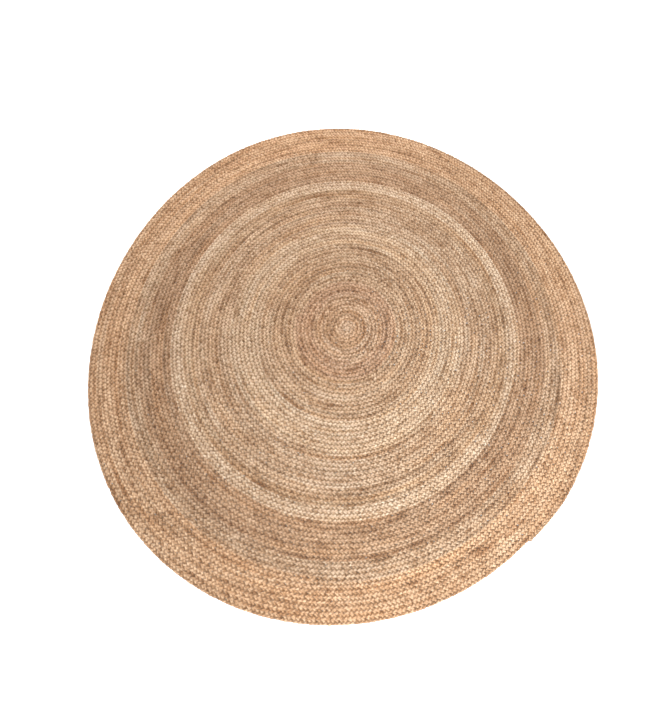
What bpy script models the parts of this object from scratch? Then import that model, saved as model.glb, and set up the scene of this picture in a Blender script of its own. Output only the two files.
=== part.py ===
"""Round area rug of flat-braided jute: one long braid, spliced from twelve lengths of different
natural shade, wound into a flat spiral from the centre out and sewn edge to edge.

Each braid length is one flat spiral tape. Between a length and the next lies the turn of sewing
thread that joins the two. The origin is the spiral's centre on the floor, +Z is up, units are metres.
"""

import math

import bpy

# Driving dimensions
BRAID_PITCH = 0.0136  # from the middle of one turn to the middle of the next
RUG_THICKNESS = 0.008
TURNS = 66  # turns of braid from the centre to the tail
SEAM_WIDTH = 0.0011  # room between neighbouring turns, where the thread runs
THREAD_WIDTH = 0.0005
THREAD_HEIGHT = 0.005
SPLICE_GAP = 0.0004  # between the end of one braid length and the start of the next
TAIL_ANGLE = math.radians(-42.6)  # where the last turn ends
TAIL_WIDTH = 0.35  # width of the tail's tip, as a share of the braid's width
STEPS = 32  # straight stretches in one turn
CORE_SLIT = 0.0018  # how near the centre the slit beside the folded start begins

# A hand-wound rug is a little out of round: (lobes, size, direction in degrees, power of growth)
OUT_OF_ROUND = (
    (1, 0.004, 166, 0),
    (2, 0.035, 162, 0),
    (2, -0.013, 159, 2),
    (3, 0.0115, -19, 3),
)

# (name, turn where it ends, colour): the braid lengths from the centre out, in linear RGB
BRAID_LENGTHS = (
    ("braid_centre_tan", 3 + 7 / STEPS, (0.60, 0.39, 0.24)),
    ("braid_inner_brown", 5 + 17 / STEPS, (0.47, 0.28, 0.17)),
    ("braid_inner_beige", 9 + 3 / STEPS, (0.53, 0.34, 0.21)),
    ("braid_brown_ring", 13 + 13 / STEPS, (0.48, 0.29, 0.17)),
    ("braid_field_beige", 23 + 27 / STEPS, (0.54, 0.35, 0.21)),
    ("braid_field_light", 31 + 5 / STEPS, (0.61, 0.41, 0.27)),
    ("braid_field_mid", 40 + 9 / STEPS, (0.54, 0.35, 0.22)),
    ("braid_russet_line", 42 + 31 / STEPS, (0.50, 0.31, 0.19)),
    ("braid_pale_ring", 45 + 29 / STEPS, (0.63, 0.44, 0.29)),
    ("braid_brown_band", 53 + 11 / STEPS, (0.47, 0.28, 0.17)),
    ("braid_grey_band", 57 + 4 / STEPS, (0.52, 0.34, 0.21)),
    ("braid_gold_border", TURNS, (0.61, 0.38, 0.22)),
)
BRAID_ROUGHNESS = 0.9
THREAD_COLOUR = (0.42, 0.27, 0.15)
THREAD_ROUGHNESS = 0.8


def clear_scene():
    for obj in list(bpy.data.objects):
        bpy.data.objects.remove(obj)


def direction(turn):
    """The angle at which the spiral has made that many turns. It winds clockwise going outwards."""
    return TAIL_ANGLE + 2 * math.pi * (TURNS - turn)


def point(radius_in_turns, angle):
    """A point that far from the centre in a perfectly round rug, moved to where the real rug has it."""
    share = radius_in_turns / TURNS
    stretch = 1.0
    for lobes, size, degrees, power in OUT_OF_ROUND:
        stretch += size * share**power * math.cos(lobes * angle - math.radians(degrees))
    radius = BRAID_PITCH * radius_in_turns * stretch
    return (radius * math.cos(angle), radius * math.sin(angle))


def stations(start, end):
    """The turn counts from start to end, at every step of the turn."""
    first = round(start * STEPS)
    last = round(end * STEPS)
    return [step / STEPS for step in range(first, last + 1)]


def trimmed(turns, start_gap, end_gap):
    """The same stations, with the two ends drawn back by those lengths along the braid."""
    drawn = list(turns)
    drawn[0] += start_gap / (2 * math.pi * BRAID_PITCH * max(turns[0], 1))
    drawn[-1] -= end_gap / (2 * math.pi * BRAID_PITCH * turns[-1])
    return drawn


def braid_outline(start, end):
    """The closed outline of one braid length: out along its outer edge and back along its inner one."""
    half = 0.5 - SEAM_WIDTH / BRAID_PITCH / 2
    is_first = start == 0
    is_last = end == TURNS
    turns = trimmed(stations(start, end), SPLICE_GAP / 2, 0 if is_last else SPLICE_GAP / 2)
    outer = [(turn + half, turn) for turn in turns]
    inner = [(turn - half, turn) for turn in turns if not is_first or turn >= 1]
    if is_last:
        outer[-1] = (turns[-1] - half + 2 * half * TAIL_WIDTH, turns[-1])
    if is_first:
        # the folded start fills the middle, up to the slit beside it
        inner.insert(0, (CORE_SLIT / BRAID_PITCH, 1))
    return [point(radius, direction(turn)) for radius, turn in outer + inner[::-1]]


def thread_outline(start):
    """The outline of the turn of thread that sews a braid length's first turn to the one inside it."""
    half = THREAD_WIDTH / BRAID_PITCH / 2
    turns = trimmed(stations(start, start + 1), SPLICE_GAP, SPLICE_GAP)
    outer = [(turn - 0.5 + half, turn) for turn in turns]
    inner = [(turn - 0.5 - half, turn) for turn in turns]
    return [point(radius, direction(turn)) for radius, turn in outer + inner[::-1]]


def material(name, colour, roughness):
    made = bpy.data.materials.new(name)
    made.use_nodes = True
    shader = made.node_tree.nodes["Principled BSDF"]
    shader.inputs["Base Color"].default_value = (*colour, 1.0)
    shader.inputs["Roughness"].default_value = roughness
    shader.inputs["Metallic"].default_value = 0.0
    made.diffuse_color = (*colour, 1.0)
    return made


def flat_piece(name, outline, thickness, collection, finish):
    """A flat piece with that outline, its middle at half the rug's thickness."""
    curve = bpy.data.curves.new(name, "CURVE")
    curve.dimensions = "2D"
    curve.fill_mode = "BOTH"
    curve.extrude = thickness / 2
    spline = curve.splines.new("POLY")
    spline.points.add(len(outline) - 1)
    for spot, (x, y) in zip(spline.points, outline):
        spot.co = (x, y, 0.0, 1.0)
    spline.use_cyclic_u = True
    curve.materials.append(finish)
    piece = bpy.data.objects.new(name, curve)
    piece.location.z = RUG_THICKNESS / 2
    collection.objects.link(piece)
    return piece


def build():
    clear_scene()
    rug = bpy.data.collections.new("area_rug")
    bpy.context.scene.collection.children.link(rug)
    start = 0
    for name, end, colour in BRAID_LENGTHS:
        finish = material(name, colour, BRAID_ROUGHNESS)
        flat_piece(name, braid_outline(start, end), RUG_THICKNESS, rug, finish)
        if start > 0:
            thread = name.replace("braid_", "thread_into_")
            finish = material(thread, THREAD_COLOUR, THREAD_ROUGHNESS)
            flat_piece(thread, thread_outline(start), THREAD_HEIGHT, rug, finish)
        start = end


build()
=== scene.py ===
"""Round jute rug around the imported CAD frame: three plaited strands wound into a spiral and sewn
edge to edge. Lengths are in metres, in the frame's own axes: the spiral's centre is the origin,
the floor is z = 0 and +Z is up.
"""

import math

import bpy
import numpy as np
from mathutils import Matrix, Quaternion, Vector


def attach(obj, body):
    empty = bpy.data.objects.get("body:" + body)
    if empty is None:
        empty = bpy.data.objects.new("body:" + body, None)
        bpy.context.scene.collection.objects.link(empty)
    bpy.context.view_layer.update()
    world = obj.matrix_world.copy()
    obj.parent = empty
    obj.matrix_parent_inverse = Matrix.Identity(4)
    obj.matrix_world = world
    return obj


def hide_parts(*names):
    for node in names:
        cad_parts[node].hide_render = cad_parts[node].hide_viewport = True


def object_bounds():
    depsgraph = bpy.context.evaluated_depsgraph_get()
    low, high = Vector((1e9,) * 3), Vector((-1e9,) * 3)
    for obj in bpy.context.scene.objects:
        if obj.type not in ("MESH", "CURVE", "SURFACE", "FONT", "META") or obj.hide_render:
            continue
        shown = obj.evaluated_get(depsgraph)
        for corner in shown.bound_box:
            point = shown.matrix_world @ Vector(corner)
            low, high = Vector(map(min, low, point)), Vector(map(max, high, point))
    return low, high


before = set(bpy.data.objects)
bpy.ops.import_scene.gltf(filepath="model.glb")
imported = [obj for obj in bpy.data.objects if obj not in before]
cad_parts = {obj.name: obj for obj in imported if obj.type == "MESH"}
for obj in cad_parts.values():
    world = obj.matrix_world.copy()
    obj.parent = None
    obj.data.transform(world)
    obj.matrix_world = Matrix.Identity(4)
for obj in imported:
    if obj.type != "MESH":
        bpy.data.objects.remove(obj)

CAD_BOX = [list(corner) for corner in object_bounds()]

# The rug's layout, as the CAD part has it
BRAID_PITCH = 0.0136  # from the middle of one turn to the middle of the next
TURNS = 66
TAIL_ANGLE = math.radians(-42.6)
TAIL_TURNS = 1 / 32  # the stretch over which the tail narrows
TAIL_WIDTH = 0.35
THICKNESS = CAD_BOX[1][2] - CAD_BOX[0][2]
RUG_RADIUS = TURNS * BRAID_PITCH
OUT_OF_ROUND = (  # lobes, size, direction in degrees, power of growth
    (1, 0.004, 166, 0),
    (2, 0.035, 162, 0),
    (2, -0.013, 159, 2),
    (3, 0.0115, -19, 3),
)

# The camera: its place and the spot it looks at, in rug radii, and its lens in millimetres
CAMERA_PLACE = (0.0, -0.583, 1.438)
CAMERA_AIM = (-0.033, -0.099, 0.0)
CAMERA_ROLL = math.radians(5.3)
CAMERA_LENS = 20.0
SENSOR_WIDTH = 36.0

# The floor and the light
FLOOR_HALF_SIZE = 60.0
FLOOR_WHITE = 0.97
WORLD_STRENGTH = 0.42
SUN_PLACE = (-4.6, -0.7, 3.5)
SUN_STRENGTH = 2.1
SUN_ANGLE = math.radians(16)
LAMP_SIZE = 0.9
LAMPS = (  # name, place, what it points at, watts, colour
    ("near_side", (0.53, -1.04, 1.45), (0.21, -0.36, 0), 52, (0.88, 0.97, 1.06)),
    ("far_side", (-0.39, 1.22, 1.45), (-0.16, 0.43, 0), 36, (0.97, 1.0, 1.02)),
)

# The plait
PLAIT_LENGTH = 0.0396  # along the braid, for one strand to come back to where it was
RINGS_PER_PLAIT = 13
SIDES = 6
SWING = 0.0055  # how far a strand's middle swings to each side
RISE = 0.0021  # and up and down
STRAND_WIDTH = 0.0090  # where it lies flat, in the middle of the braid
STRAND_DEPTH = 0.0042
START_WIDTH = 0.60  # the braid's width at its start, as a share of its full width
START_TURNS = 0.5  # the stretch over which it grows to that
TAIL_SHIFT = 0.0042  # how far inwards the narrow tail lies
DRIFT = 0.00025  # how far the braid strays sideways
STEP = 0.0005  # the step along the braid from which its heading is taken
SQUARENESS = 0.85  # of a strand's section; 1 is an ellipse, less is boxy
LOWEST = 0.0001  # how near the strands come to the floor
ABOVE_TOP = 0.0002  # how far they may stand above the CAD thickness
SPLICE_TRIM = 0.0002  # cut off each end of a length, so that it clears the next
FIRST_TURN = 0.16  # where the braid starts, in the middle of the rug

# The folded start of the braid: three strand ends laid over the centre
FOLD_RUN = 0.017
FOLD_HALF_WIDTH = 0.0040
FOLD_HALF_DEPTH = 0.0024
FOLD_OFFSET = 0.0016  # from the spiral's centre to the middle of each
FOLD_HEIGHT = 0.0044
FOLD_DROP = 0.0016  # how far its two ends dip
FOLD_STACK = 0.0005  # how much higher each lies than the one before
FOLD_FIRST_ANGLE = 25  # degrees
FOLD_ANGLE_STEP = 62

# The sewing thread laces each turn to the next
STITCH_LENGTH = 0.018
FIRST_STITCH = 1.1  # the turn where the sewing starts
RINGS_PER_STITCH = 4
THREAD_SIDES = 3
THREAD_RADIUS = 0.00042
THREAD_SWING = 0.0026
THREAD_RISE = 0.0031
PLY_LENGTH = 0.003  # along the thread, for its two plies to turn once round each other

# Loose hairs that stand off the braid
HAIRS_PER_METRE = 40
HAIR_RINGS = 5
HAIR_RADIUS = 0.00011
HAIR_LIFT = 0.0045
HAIR_REACH = (0.005, 0.015)  # the shortest and the longest
HAIR_SIDE = 0.0058  # how far from the braid's middle one may start
HAIR_TURN = 0.45  # spread of the angle at which it leaves the braid, and of its bend

# Braid lengths from the centre out: name, turn where it ends, slot, colour
BRAID_LENGTHS = (
    ("centre_tan", 3 + 7 / 32, "jute_centre_tan", (0.40, 0.25, 0.15)),
    ("inner_brown", 5 + 17 / 32, "jute_inner_brown", (0.34, 0.20, 0.11)),
    ("inner_beige", 9 + 3 / 32, "jute_inner_beige", (0.40, 0.25, 0.15)),
    ("brown_ring", 13 + 13 / 32, "jute_brown_ring", (0.37, 0.22, 0.13)),
    ("field_beige", 23 + 27 / 32, "jute_field_beige", (0.39, 0.25, 0.15)),
    ("field_light", 31 + 5 / 32, "jute_field_light", (0.45, 0.31, 0.20)),
    ("field_mid", 40 + 9 / 32, "jute_field_mid", (0.40, 0.26, 0.16)),
    ("russet_line", 42 + 31 / 32, "jute_russet", (0.38, 0.24, 0.14)),
    ("pale_ring", 45 + 29 / 32, "jute_pale", (0.47, 0.33, 0.22)),
    ("brown_band", 53 + 11 / 32, "jute_brown", (0.35, 0.21, 0.12)),
    ("grey_band", 57 + 4 / 32, "jute_grey_beige", (0.40, 0.26, 0.16)),
    ("gold_border", TURNS, "jute_gold", (0.46, 0.28, 0.16)),
)
STRANDS = "abc"
PATCH = 1.1  # how much the tone drifts, where PATCHES says nothing else
PATCHES = {"gold_border": 1.0, "pale_ring": 0.5, "field_light": 0.75}
HUE = 0.65  # how much the hue drifts, where HUES says nothing else
HUES = {"gold_border": 0.5, "pale_ring": 0.4}
FLECK = 1.0  # how strongly short dark and pale stretches of fibre stand out, likewise
FLECKS = {
    "centre_tan": 1.35,
    "inner_brown": 1.40,
    "inner_beige": 1.35,
    "brown_ring": 1.35,
    "field_beige": 1.25,
    "field_mid": 1.08,
    "brown_band": 1.15,
}

STRAND_APART = 37.13  # metres of noise between one strand and the next, so that they differ
HUE_APART = 911.0  # and between the noise of the tone and that of the hue
FIBRE_TWIST = 90.0  # radians that the fibres turn round the strand in a metre
YARNS = 5  # yarns laid side by side round one strand
GROOVE_PAINTED_SHADE = (0.66, 0.57, 0.47, 1)  # how much of each colour is left in the grooves between the yarns, as painted shade
BARK_ABOVE = 0.66  # the noise above which the fibres are dark scraps of bark
BARK_COLOUR = (0.12, 0.065, 0.035, 1)
PAINTED_HOLLOW_SHADE = (0.40, 0.33, 0.25, 1)  # how much of each colour is left where shade is painted, in the hollows at mid-height and where strands dive under each other

BRAID_MAP = "braid"  # metres along the braid, and the strand's number plus turns round it
INSIDE = "inside"  # how near a strand is to the braid's middle, from 0 to 1
BAKE_MAP = "OFBake"  # the same surface laid out in rows with nothing on top of anything else
BAKE_GAP = 0.04  # share of a row left empty on each side


# ---------------------------------------------------------------- camera, floor and light


def make_camera():
    """Looks down at the rug from its near side, a little off its middle and a little turned."""
    data = bpy.data.cameras.new("camera")
    data.lens = CAMERA_LENS
    data.sensor_width = SENSOR_WIDTH
    data.clip_start = 0.01
    camera = bpy.data.objects.new("camera", data)
    bpy.context.scene.collection.objects.link(camera)
    place = RUG_RADIUS * Vector(CAMERA_PLACE)
    aim = RUG_RADIUS * Vector(CAMERA_AIM)
    roll = Quaternion((0, 0, 1), CAMERA_ROLL)
    camera.rotation_mode = "QUATERNION"
    camera.location = place
    camera.rotation_quaternion = (aim - place).to_track_quat("-Z", "Y") @ roll
    bpy.context.scene.camera = camera


def make_floor():
    half = FLOOR_HALF_SIZE
    mesh = bpy.data.meshes.new("floor")
    corners = [(-half, -half, 0), (half, -half, 0), (half, half, 0), (-half, half, 0)]
    mesh.from_pydata(corners, [], [(0, 1, 2, 3)])
    floor = bpy.data.objects.new("floor", mesh)
    bpy.context.scene.collection.objects.link(floor)
    white = bpy.data.materials.new("floor_white")
    white.use_nodes = True
    shader = white.node_tree.nodes["Principled BSDF"]
    shader.inputs["Base Color"].default_value = (FLOOR_WHITE, FLOOR_WHITE, FLOOR_WHITE, 1)
    shader.inputs["Roughness"].default_value = 0.9
    shader.inputs["Specular IOR Level"].default_value = 0.0
    mesh.materials.append(white)


def add_light(name, kind, place, aim, energy):
    data = bpy.data.lights.new(name, kind)
    data.energy = energy
    lamp = bpy.data.objects.new(name, data)
    bpy.context.scene.collection.objects.link(lamp)
    lamp.location = place
    lamp.rotation_mode = "QUATERNION"
    lamp.rotation_quaternion = (Vector(aim) - Vector(place)).to_track_quat("-Z", "Y")
    return data


def make_light():
    scene = bpy.context.scene
    world = bpy.data.worlds.new("studio")
    world.use_nodes = True
    background = world.node_tree.nodes["Background"]
    background.inputs["Color"].default_value = (1.0, 1.0, 1.0, 1)
    background.inputs["Strength"].default_value = WORLD_STRENGTH
    scene.world = world
    broad = add_light("broad", "SUN", SUN_PLACE, (0, 0, 0), SUN_STRENGTH)
    broad.angle = SUN_ANGLE
    for name, place, aim, watts, colour in LAMPS:
        lamp = add_light(name, "AREA", place, aim, watts)
        lamp.color = colour
        lamp.shape = "DISK"
        lamp.size = LAMP_SIZE
    scene.view_settings.view_transform = "Standard"
    scene.view_settings.look = "None"
    scene.view_settings.exposure = 0.0
    scene.view_settings.gamma = 1.0


# ---------------------------------------------------------------- the spiral


def rug_points(radius_in_turns, turn):
    """Where the spiral passes in its direction at that turn, that many turns out, as x and y."""
    angle = TAIL_ANGLE + 2 * math.pi * (TURNS - turn)
    share = radius_in_turns / TURNS
    stretch = np.ones_like(turn)
    for lobes, size, degrees, power in OUT_OF_ROUND:
        stretch += size * share**power * np.cos(lobes * angle - math.radians(degrees))
    radius = BRAID_PITCH * radius_in_turns * stretch
    return np.stack([radius * np.cos(angle), radius * np.sin(angle)], axis=-1)


TABLE_TURNS = np.linspace(FIRST_TURN, TURNS, TURNS * 240)
TABLE_POINTS = rug_points(TABLE_TURNS, TABLE_TURNS)
TABLE_LENGTH = np.concatenate(
    [[0.0], np.cumsum(np.linalg.norm(np.diff(TABLE_POINTS, axis=0), axis=1))]
)


def turn_at(length):
    """The turn reached after that length of braid, measured from its start."""
    return np.interp(length, TABLE_LENGTH, TABLE_TURNS)


def length_at(turn):
    return float(np.interp(turn, TABLE_TURNS, TABLE_LENGTH))


def wander(length, reach, seed):
    """A smooth random curve between -1 and 1 that changes over about that reach of braid."""
    knots = np.random.RandomState(seed).uniform(-1, 1, int(TABLE_LENGTH[-1] / reach) + 4)
    place = length / reach + 1
    low = np.floor(place).astype(int)
    part = place - low
    part = part * part * (3 - 2 * part)
    return knots[low] * (1 - part) + knots[low + 1] * part


# ---------------------------------------------------------------- meshes


def unit(vectors):
    """The same vectors, each scaled to length one."""
    return vectors / np.linalg.norm(vectors, axis=-1, keepdims=True)


def course(length, inwards=0.0):
    """The turn, the place, the way along and the way outward at those lengths, in the floor's plane."""
    turn = turn_at(length)
    ahead = turn_at(np.minimum(length + STEP, TABLE_LENGTH[-1]))
    behind = turn_at(np.maximum(length - STEP, 0.0))
    middle = rug_points(turn - inwards, turn)
    along = unit(rug_points(ahead - inwards, ahead) - rug_points(behind - inwards, behind))
    outward = np.stack([-along[:, 1], along[:, 0]], axis=-1)
    outward *= np.sign(np.sum(outward * middle, axis=-1, keepdims=True))
    return turn, middle, along, outward


def strand_frame(length, strand):
    """One strand's spine at those lengths, its broad and thin directions, its half sizes, and
    how near it is to the middle of the braid, where it dives under another strand (1) or at its
    side (0)."""
    turn, middle, _, outward = course(length)
    tail = np.clip((TURNS - turn) / TAIL_TURNS, 0, 1)
    width = TAIL_WIDTH + (1 - TAIL_WIDTH) * tail
    start = np.clip((turn - FIRST_TURN) / START_TURNS, 0, 1)
    width = width * (START_WIDTH + (1 - START_WIDTH) * start)

    phase = 2 * math.pi * (length / PLAIT_LENGTH + strand / 3)
    phase += 1.10 * wander(length, 0.12, 11) + 0.46 * wander(length, 0.029, 21 + strand)
    swing = SWING * width * (1 + 0.09 * wander(length, 0.03, 31 + strand))
    rise = RISE * np.sqrt(width) * (1 + 0.12 * wander(length, 0.03, 41 + strand))
    drift = DRIFT * wander(length, 0.17, 51)
    sideways = swing * np.sin(phase) + drift - (1 - width) * TAIL_SHIFT * (turn > 1)

    spine = np.empty((len(length), 3))
    spine[:, :2] = middle + outward * sideways[:, None]
    spine[:, 2] = THICKNESS / 2 + rise * np.sin(2 * phase)
    heading = unit(np.gradient(spine, axis=0))
    flat = unit(np.cross(heading, (0, 0, 1)))
    flat *= np.sign(np.sum(flat[:, :2] * outward, axis=-1))[:, None]
    raised = np.cross(flat, heading)
    raised *= np.sign(raised[:, 2:3])
    # the broad side lies flat in the braid's middle and stands on edge where it turns round its side
    roll = (math.pi / 2 * (1 - np.cos(phase)))[:, None]
    broad = np.cos(roll) * flat - np.sin(roll) * raised
    thin = np.cos(roll) * raised + np.sin(roll) * flat
    bulk = 1 + 0.13 * wander(length, 0.03, 61 + strand) + 0.09 * wander(length, 0.010, 71 + strand)
    edge = np.sin(phase) ** 2  # 1 where the strand turns round the braid's side, and is rounder
    half_width = STRAND_WIDTH / 2 * width * bulk * (1 - 0.26 * edge)
    half_depth = STRAND_DEPTH / 2 * np.sqrt(width) * bulk * (1 + 0.16 * edge)
    return spine, broad, thin, half_width, half_depth, np.cos(phase) ** 2


def oval(sides, squareness):
    """Points round an oval. Below 1 it is a little boxy, as strands pressed together are."""
    around = 2 * math.pi * np.arange(sides) / sides
    x = np.sign(np.cos(around)) * np.abs(np.cos(around)) ** squareness
    y = np.sign(np.sin(around)) * np.abs(np.sin(around)) ** squareness
    return x, y


def strand_rings(length, strand):
    """Rings of points round one strand, at those lengths along the braid, and how near each is to
    the braid's middle."""
    spine, broad, thin, half_width, half_depth, inside = strand_frame(length, strand)
    x, y = oval(SIDES, SQUARENESS)
    rings = spine[:, None, :] + (half_width[:, None] * x)[:, :, None] * broad[:, None, :]
    rings = rings + (half_depth[:, None] * y)[:, :, None] * thin[:, None, :]
    rings[:, :, 2] = np.clip(rings[:, :, 2], LOWEST, THICKNESS + ABOVE_TOP)
    return rings, inside


def thread_rings(length):
    """Rings of points round the thread that laces the braid to the turn inside it."""
    _, middle, _, outward = course(length, inwards=0.5)
    phase = 2 * math.pi * length / STITCH_LENGTH + 0.5 * wander(length, 0.06, 81)
    spine = np.empty((len(length), 3))
    spine[:, :2] = middle + outward * (THREAD_SWING * np.cos(phase))[:, None]
    spine[:, 2] = THICKNESS / 2 + THREAD_RISE * np.sin(phase)
    heading = unit(np.gradient(spine, axis=0))
    flat = unit(np.cross(heading, (0, 0, 1)))
    raised = np.cross(flat, heading)
    x, y = oval(THREAD_SIDES, 1.0)
    rings = spine[:, None, :] + THREAD_RADIUS * x[None, :, None] * flat[:, None, :]
    return rings + THREAD_RADIUS * y[None, :, None] * raised[:, None, :]


def tube_corners(count, sides):
    """The corners of the faces of a tube of that many rings: its quads, then its two ends."""
    ring = np.arange(count - 1)[:, None] * sides
    side = np.arange(sides)[None, :]
    after = (side + 1) % sides
    quads = np.stack([ring + side, ring + after, ring + sides + after, ring + sides + side], axis=-1)
    first_end = np.arange(sides)[::-1]
    last_end = (count - 1) * sides + np.arange(sides)
    return quads.reshape(-1, 4), first_end, last_end


def braid_map(along, sides, strand):
    """For each quad's corners, metres along the braid and the strand's number plus turns round it."""
    segments = len(along) - 1
    low = np.repeat(along[:-1], sides)
    high = np.repeat(along[1:], sides)
    turn = np.tile(np.arange(sides), segments) / sides
    inset = 0.001  # keeps the strand's number whole at the seam of its map
    first = strand + inset + (1 - 2 * inset) * turn
    second = strand + inset + (1 - 2 * inset) * (turn + 1 / sides)
    u = np.stack([low, low, high, high], axis=-1)
    v = np.stack([first, second, second, first], axis=-1)
    return np.stack([u, v], axis=-1)


def bake_map(segments, sides, ring_gap, girth):
    """For each quad's corners, a place of its own: the tube cut into rows that fill a square."""
    per_row = max(1, math.ceil(math.sqrt(segments * girth / ring_gap)))
    rows = math.ceil(segments / per_row)
    segment = np.repeat(np.arange(segments), sides)
    side = np.tile(np.arange(sides), segments)
    column = (segment % per_row) / per_row
    row = segment // per_row
    u = np.stack([column, column, column + 1 / per_row, column + 1 / per_row], axis=-1)
    low = (row + BAKE_GAP + (1 - 2 * BAKE_GAP) * side / sides) / rows
    high = (row + BAKE_GAP + (1 - 2 * BAKE_GAP) * (side + 1) / sides) / rows
    v = np.stack([low, high, high, low], axis=-1)
    return np.stack([u, v], axis=-1)


def ring_mesh(name, rings, along, strand=0, inside=None):
    """A closed smooth tube through those rings, with its two maps and how far inside it is."""
    count, sides = rings.shape[:2]
    quads, first_end, last_end = tube_corners(count, sides)
    corners = np.concatenate([quads.ravel(), first_end, last_end]).astype(np.int32)
    starts = np.concatenate([np.arange(len(quads)) * 4, len(quads) * 4 + np.array([0, sides])])
    mesh = bpy.data.meshes.new(name)
    mesh.vertices.add(count * sides)
    mesh.vertices.foreach_set("co", rings.astype(np.float32).ravel())
    mesh.loops.add(len(corners))
    mesh.loops.foreach_set("vertex_index", corners)
    mesh.polygons.add(len(starts))
    mesh.polygons.foreach_set("loop_start", starts.astype(np.int32))
    smooth = np.ones(len(starts), bool)
    smooth[-2:] = False
    mesh.polygons.foreach_set("use_smooth", smooth)

    ring_gap = float(np.mean(np.linalg.norm(np.diff(rings[:200, 0], axis=0), axis=1)))
    around = np.roll(rings[:200], 1, axis=1) - rings[:200]
    girth = float(np.mean(np.sum(np.linalg.norm(around, axis=2), axis=1)))
    maps = {
        BRAID_MAP: braid_map(along, sides, strand),
        BAKE_MAP: bake_map(count - 1, sides, ring_gap, girth),
    }
    for title, place in maps.items():
        values = np.zeros((len(corners), 2), np.float32)
        values[: len(quads) * 4] = place.reshape(-1, 2)
        values[len(quads) * 4 : len(quads) * 4 + sides] = place[0, 0]
        values[len(quads) * 4 + sides :] = place[-1, 2]
        mesh.uv_layers.new(name=title).data.foreach_set("uv", values.ravel())
    mesh.uv_layers[BRAID_MAP].active_render = True
    if inside is not None:
        depth = mesh.attributes.new(INSIDE, "FLOAT", "POINT")
        depth.data.foreach_set("value", np.repeat(inside, sides).astype(np.float32))
    mesh.update(calc_edges=True)
    return mesh


def hair_mesh(name, rings, length):
    """Many short open tubes in one mesh, with its two maps."""
    count, ring_count, sides = rings.shape[:3]
    quads, _, _ = tube_corners(ring_count, sides)
    shift = (np.arange(count) * ring_count * sides)[:, None, None]
    corners = (quads[None] + shift).reshape(-1, 4)
    mesh = bpy.data.meshes.new(name)
    mesh.vertices.add(count * ring_count * sides)
    mesh.vertices.foreach_set("co", rings.astype(np.float32).ravel())
    mesh.loops.add(corners.size)
    mesh.loops.foreach_set("vertex_index", corners.astype(np.int32).ravel())
    mesh.polygons.add(len(corners))
    mesh.polygons.foreach_set("loop_start", (np.arange(len(corners)) * 4).astype(np.int32))
    mesh.polygons.foreach_set("use_smooth", np.ones(len(corners), bool))
    one = braid_map(np.zeros(ring_count), sides, 0)
    braid = np.repeat(one[None], count, axis=0)
    braid[..., 0] += length[:, None, None] * 7.0
    cells = math.ceil(math.sqrt(count))
    inner = bake_map(ring_count - 1, sides, 1.0, float(ring_count - 1))
    bake = np.repeat(inner[None], count, axis=0)
    bake[..., 0] = (bake[..., 0] + (np.arange(count) % cells)[:, None, None]) / cells
    bake[..., 1] = (bake[..., 1] + (np.arange(count) // cells)[:, None, None]) / cells
    for title, values in ((BRAID_MAP, braid), (BAKE_MAP, bake)):
        layer = mesh.uv_layers.new(name=title)
        layer.data.foreach_set("uv", values.astype(np.float32).ravel())
    mesh.uv_layers[BRAID_MAP].active_render = True
    mesh.update(calc_edges=True)
    return mesh


def add_piece(name, mesh, material, node):
    mesh.materials.append(material)
    piece = bpy.data.objects.new(name, mesh)
    bpy.context.scene.collection.objects.link(piece)
    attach(piece, "root")
    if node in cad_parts:
        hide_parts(node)
    return piece


# ---------------------------------------------------------------- materials


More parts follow.
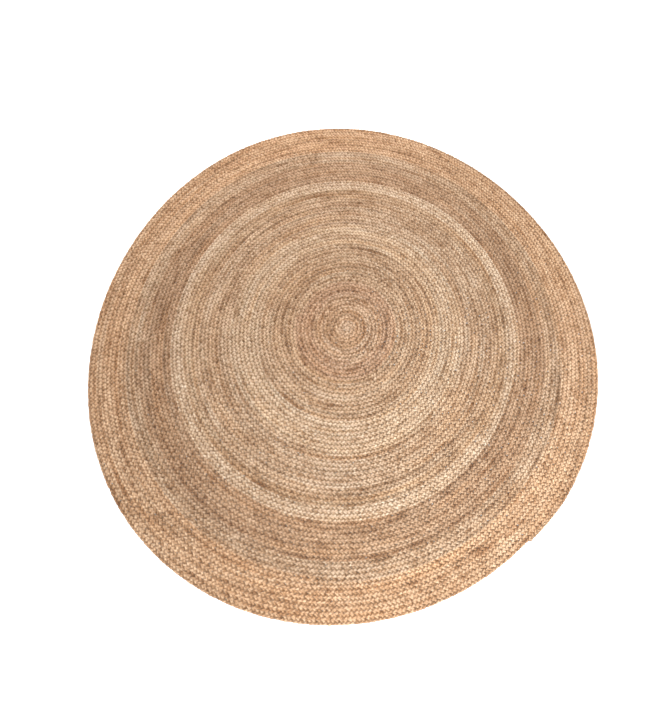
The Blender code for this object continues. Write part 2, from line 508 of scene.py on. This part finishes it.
class Nodes:
    """Shorthand for building one material's nodes."""

    def __init__(self, name):
        self.material = bpy.data.materials.new(name)
        self.material.use_nodes = True
        self.tree = self.material.node_tree
        self.shader = self.tree.nodes["Principled BSDF"]

    def put(self, value, socket):
        if isinstance(value, bpy.types.NodeSocket):
            self.tree.links.new(value, socket)
        else:
            socket.default_value = value

    def maths(self, operation, first, second=0.0):
        node = self.tree.nodes.new("ShaderNodeMath")
        node.operation = operation
        self.put(first, node.inputs[0])
        self.put(second, node.inputs[1])
        return node.outputs[0]

    def spread(self, value, low, high, to_low, to_high):
        """Value taken smoothly from low..high to to_low..to_high."""
        node = self.tree.nodes.new("ShaderNodeMapRange")
        node.interpolation_type = "SMOOTHSTEP"
        self.put(value, node.inputs["Value"])
        for title, number in (
            ("From Min", low),
            ("From Max", high),
            ("To Min", to_low),
            ("To Max", to_high),
        ):
            node.inputs[title].default_value = number
        return node.outputs["Result"]

    def vector(self, x, y, z):
        node = self.tree.nodes.new("ShaderNodeCombineXYZ")
        for value, socket in zip((x, y, z), node.inputs):
            self.put(value, socket)
        return node.outputs[0]

    def noise(self, vector=None, w=None, scale=1.0, detail=2.0, rough=0.5):
        node = self.tree.nodes.new("ShaderNodeTexNoise")
        node.noise_dimensions = "1D" if vector is None else "3D"
        if vector is None:
            self.put(w, node.inputs["W"])
        else:
            self.put(vector, node.inputs["Vector"])
        node.inputs["Scale"].default_value = scale
        node.inputs["Detail"].default_value = detail
        node.inputs["Roughness"].default_value = rough
        return node.outputs["Fac"]

    def ramp(self, value, stops):
        node = self.tree.nodes.new("ShaderNodeValToRGB")
        self.put(value, node.inputs[0])
        band = node.color_ramp
        while len(band.elements) < len(stops):
            band.elements.new(0.5)
        for element, (place, colour) in zip(band.elements, stops):
            element.position = place
            element.color = (*colour, 1)
        return node.outputs["Color"]

    def mix(self, share, first, second, blend="MIX"):
        node = self.tree.nodes.new("ShaderNodeMix")
        node.data_type = "RGBA"
        node.blend_type = blend
        self.put(share, node.inputs["Factor"])
        self.put(first, node.inputs[6])
        self.put(second, node.inputs[7])
        return node.outputs[2]

    def bump(self, height, distance, strength):
        node = self.tree.nodes.new("ShaderNodeBump")
        node.inputs["Strength"].default_value = strength
        node.inputs["Distance"].default_value = distance
        self.put(height, node.inputs["Height"])
        return node.outputs["Normal"]

    def braid_place(self):
        """Metres along the braid, the strand's number and the angle round it."""
        node = self.tree.nodes.new("ShaderNodeUVMap")
        node.uv_map = BRAID_MAP
        split = self.tree.nodes.new("ShaderNodeSeparateXYZ")
        self.tree.links.new(node.outputs["UV"], split.inputs[0])
        strand = self.maths("FLOOR", split.outputs[1])
        angle = self.maths("MULTIPLY", split.outputs[1], 2 * math.pi)
        return split.outputs[0], strand, angle


def scaled(colour, factors):
    return tuple(part * factor for part, factor in zip(colour, factors))


def jute(name, colour, patch, hues, flecks):
    """Untwisted jute: long fibres, tones that drift along the strand, bark flecks, painted shade in the
    grooves between yarns and in the hollows.
    """
    nodes = Nodes(name)
    along, strand, angle = nodes.braid_place()
    own = nodes.maths("ADD", along, nodes.maths("MULTIPLY", strand, STRAND_APART))
    twisted = nodes.maths("ADD", angle, nodes.maths("MULTIPLY", along, FIBRE_TWIST))
    east = nodes.maths("COSINE", twisted)
    north = nodes.maths("SINE", twisted)

    def round_noise(per_metre, around, detail, rough):
        place = nodes.vector(
            nodes.maths("MULTIPLY", own, per_metre),
            nodes.maths("MULTIPLY", east, around),
            nodes.maths("MULTIPLY", north, around),
        )
        return nodes.noise(vector=place, detail=detail, rough=rough)

    tone = 0.5
    for value, weight in (
        (nodes.noise(w=along, scale=1.1, detail=1.0), 0.50 * patch),
        (nodes.noise(w=along, scale=7.0, detail=3.0, rough=0.6), 0.72 * patch),
        (nodes.noise(w=own, scale=12.0, detail=2.0, rough=0.6), 0.52),
        (nodes.noise(w=own, scale=55.0, detail=2.0, rough=0.6), 0.85 * flecks),
        (round_noise(130.0, 2.4, 3.0, 0.6), 1.30 * flecks),
        (round_noise(38.0, 12.0, 3.0, 0.7), 1.35 * flecks),
    ):
        centred = nodes.maths("MULTIPLY", nodes.maths("SUBTRACT", value, 0.5), weight)
        tone = nodes.maths("ADD", tone, centred)
    shade = nodes.ramp(
        tone,
        (
            (0.10, scaled(colour, (0.42, 0.29, 0.18))),
            (0.36, scaled(colour, (0.84, 0.76, 0.66))),
            (0.54, scaled(colour, (1.06, 1.06, 1.06))),
            (0.88, scaled(colour, (1.40, 1.54, 1.70))),
        ),
    )
    drift = nodes.noise(w=nodes.maths("ADD", along, HUE_APART), scale=1.7, detail=3.0, rough=0.6)
    hue = nodes.ramp(
        drift,
        (
            (0.30, (1.0 + 0.05 * hues, 1.0 - 0.04 * hues, 1.0 - 0.16 * hues)),
            (0.50, (1.0, 1.0, 1.0)),
            (0.70, (1.0 - 0.05 * hues, 1.0 + 0.01 * hues, 1.0 + 0.08 * hues)),
        ),
    )
    shade = nodes.mix(1.0, shade, hue, "MULTIPLY")

    wave = nodes.maths("MULTIPLY", nodes.noise(w=own, scale=24.0, detail=1.0), 5.0)
    bundles = nodes.maths("COSINE", nodes.maths("ADD", nodes.maths("MULTIPLY", twisted, YARNS), wave))
    # Painted shade in the grooves between the yarns, which the bump below also sinks
    groove = nodes.spread(bundles, -1.0, -0.45, 1.0, 0.0)
    shade = nodes.mix(groove, shade, nodes.mix(1.0, shade, GROOVE_PAINTED_SHADE, "MULTIPLY"))
    bark = nodes.spread(round_noise(34.0, 3.2, 3.0, 0.6), BARK_ABOVE, BARK_ABOVE + 0.07, 0.0, 0.85)
    shade = nodes.mix(bark, shade, BARK_COLOUR)

    place = nodes.tree.nodes.new("ShaderNodeTexCoord")
    height = nodes.tree.nodes.new("ShaderNodeSeparateXYZ")
    nodes.put(place.outputs["Object"], height.inputs[0])
    from_middle = nodes.maths("ABSOLUTE", nodes.maths("SUBTRACT", height.outputs[2], THICKNESS / 2))
    # Painted shade: darker near the braid's mid-height, where the turns meet, and where a strand dives
    # under another; its strength varies at random along the strand
    side_painted_shade = nodes.spread(from_middle, 0.0002, 0.0024, 0.8, 0.0)
    inside = nodes.tree.nodes.new("ShaderNodeAttribute")
    inside.attribute_name = INSIDE
    middle_painted_shade = nodes.spread(inside.outputs["Fac"], 0.48, 0.92, 0.0, 1.0)
    painted_shade_patchiness = nodes.spread(nodes.noise(w=own, scale=60.0, detail=2.0), 0.30, 0.62, 0.62, 1.0)
    painted_shade_share = nodes.maths("MULTIPLY", nodes.maths("MAXIMUM", side_painted_shade, middle_painted_shade), painted_shade_patchiness)
    shade = nodes.mix(painted_shade_share, shade, nodes.mix(1.0, shade, PAINTED_HOLLOW_SHADE, "MULTIPLY"))
    nodes.put(shade, nodes.shader.inputs["Base Color"])

    fibres = round_noise(150.0, 9.0, 3.0, 0.65)
    raised = nodes.maths("MULTIPLY", fibres, 1.3)
    sunk = nodes.maths("MULTIPLY", groove, 0.5)
    relief = nodes.maths("SUBTRACT", raised, sunk)
    nodes.put(nodes.bump(relief, 0.0007, 0.8), nodes.shader.inputs["Normal"])
    nodes.put(nodes.spread(fibres, 0.3, 0.7, 0.62, 0.86), nodes.shader.inputs["Roughness"])
    nodes.shader.inputs["Specular IOR Level"].default_value = 0.28
    nodes.shader.inputs["Sheen Weight"].default_value = 0.15
    nodes.shader.inputs["Sheen Roughness"].default_value = 0.45
    nodes.shader.inputs["Sheen Tint"].default_value = (1.0, 0.90, 0.76, 1)
    return nodes.material


def sewing_thread():
    """Two-ply jute twine, a little darker than the braid."""
    nodes = Nodes("sewing_thread")
    along, _, angle = nodes.braid_place()
    laid = nodes.maths("MULTIPLY", along, 2 * math.pi / PLY_LENGTH)
    ply = nodes.maths("COSINE", nodes.maths("ADD", angle, laid))
    drift = nodes.noise(w=along, scale=70.0, detail=3.0, rough=0.6)
    tone = nodes.maths("ADD", nodes.maths("MULTIPLY", ply, 0.12), drift)
    shade = nodes.ramp(tone, ((0.25, (0.22, 0.13, 0.07)), (0.75, (0.46, 0.30, 0.17))))
    nodes.put(shade, nodes.shader.inputs["Base Color"])
    nodes.put(nodes.bump(ply, 0.0002, 0.5), nodes.shader.inputs["Normal"])
    nodes.put(nodes.spread(drift, 0.3, 0.7, 0.60, 0.80), nodes.shader.inputs["Roughness"])
    nodes.shader.inputs["Specular IOR Level"].default_value = 0.25
    return nodes.material


# ---------------------------------------------------------------- the rug


def lengths_between(start, end, gap):
    """Evenly spaced lengths along the braid from one turn to another, about that far apart."""
    first = length_at(start) + SPLICE_TRIM
    last = length_at(end) - SPLICE_TRIM
    return np.linspace(first, last, max(8, round((last - first) / gap)))


def hair_rings(length, seed, count):
    """Rings of points round loose hairs that stand off the braid at those lengths."""
    rng = np.random.RandomState(seed)
    _, middle, along, outward = course(length)
    side = rng.uniform(-HAIR_SIDE, HAIR_SIDE, count)
    root = middle + outward * side[:, None]
    turned = rng.normal(0, HAIR_TURN, count)[:, None]
    ahead = np.cos(turned) * along + np.sin(turned) * outward
    aside = -np.sin(turned) * along + np.cos(turned) * outward
    reach = rng.uniform(*HAIR_REACH, count)
    bend = rng.normal(0, HAIR_TURN, count)
    rise = HAIR_LIFT * rng.uniform(0.25, 1.0, count) ** 2
    steps = np.linspace(0, 1, HAIR_RINGS)
    spine = np.empty((count, HAIR_RINGS, 3))
    run = reach[:, None] * steps
    sweep = (reach * bend)[:, None] * steps**2
    spine[:, :, :2] = root[:, None, :] + run[:, :, None] * ahead[:, None, :]
    spine[:, :, :2] += sweep[:, :, None] * aside[:, None, :]
    lifted = THICKNESS - 0.0009 + 0.0012 * np.sin(math.pi * np.minimum(steps * 1.5, 1))
    spine[:, :, 2] = lifted + rise[:, None] * steps**1.5
    heading = unit(np.gradient(spine, axis=1))
    flat = unit(np.cross(heading, (0, 0, 1)))
    raised = np.cross(flat, heading)
    x, y = oval(3, 1.0)
    thick = (HAIR_RADIUS * rng.uniform(0.6, 1.2, count))[:, None] * (1 - 0.6 * steps)
    across_x = (thick[:, :, None] * x)[..., None] * flat[:, :, None, :]
    across_y = (thick[:, :, None] * y)[..., None] * raised[:, :, None, :]
    return spine[:, :, None, :] + across_x + across_y


def make_folded_start(material):
    """The cut ends of the braid's three strands, folded over the spiral's centre and tucked in."""
    along = np.linspace(0, 0.022, 12)
    share = along / along[-1]
    for number, letter in enumerate(STRANDS):
        angle = math.radians(FOLD_FIRST_ANGLE + FOLD_ANGLE_STEP * number)
        middle = Vector((math.cos(angle + 1.2), math.sin(angle + 1.2), 0)) * FOLD_OFFSET
        reach = (share - 0.5) * FOLD_RUN
        spine = np.empty((len(along), 3))
        spine[:, 0] = middle.x + reach * math.cos(angle)
        spine[:, 1] = middle.y + reach * math.sin(angle)
        spine[:, 2] = FOLD_HEIGHT - FOLD_DROP * (2 * share - 1) ** 2 + FOLD_STACK * (number - 1)
        heading = unit(np.gradient(spine, axis=0))
        flat = unit(np.cross(heading, (0, 0, 1)))
        raised = np.cross(flat, heading)
        taper = np.sqrt(1 - 0.92 * (2 * share - 1) ** 2)
        x, y = oval(SIDES, SQUARENESS)
        wide = (FOLD_HALF_WIDTH * taper)[:, None, None] * x[None, :, None]
        deep = (FOLD_HALF_DEPTH * taper)[:, None, None] * y[None, :, None]
        rings = spine[:, None, :] + wide * flat[:, None, :]
        rings = rings + deep * raised[:, None, :]
        label = f"folded_start_{letter}"
        mesh = ring_mesh(label, rings, along, number)
        add_piece(label, mesh, material, "braid_centre_tan")


def make_hairs(name, start, end, material):
    """The loose hairs of one braid length, as one piece."""
    first = length_at(start)
    last = length_at(end)
    count = round((last - first) * HAIRS_PER_METRE)
    seed = round(start * 100)
    length = np.random.RandomState(seed).uniform(first, last, count)
    rings = hair_rings(length, seed + 1, count)
    label = name + "_hairs"
    mesh = hair_mesh(label, rings, length)
    add_piece(label, mesh, material, "braid_" + name)


def make_rug():
    thread = sewing_thread()
    start = FIRST_TURN
    for name, end, slot, colour in BRAID_LENGTHS:
        patch = PATCHES.get(name, PATCH)
        hues = HUES.get(name, HUE)
        flecks = FLECKS.get(name, FLECK)
        material = jute("jute_" + name, colour, patch, hues, flecks)
        length = lengths_between(start, end, PLAIT_LENGTH / RINGS_PER_PLAIT)
        for strand, letter in enumerate(STRANDS):
            label = f"{name}_strand_{letter}"
            rings, inside = strand_rings(length, strand)
            mesh = ring_mesh(label, rings, length, strand, inside)
            add_piece(label, mesh, material, "braid_" + name)
        if name == "centre_tan":
            make_folded_start(material)
        make_hairs(name, start, end, material)
        length = lengths_between(max(start, FIRST_STITCH), end, STITCH_LENGTH / RINGS_PER_STITCH)
        label = f"{name}_seam_thread"
        mesh = ring_mesh(label, thread_rings(length), length)
        add_piece(label, mesh, thread, "thread_into_" + name)
        start = end


make_camera()
make_floor()
make_light()
make_rug()
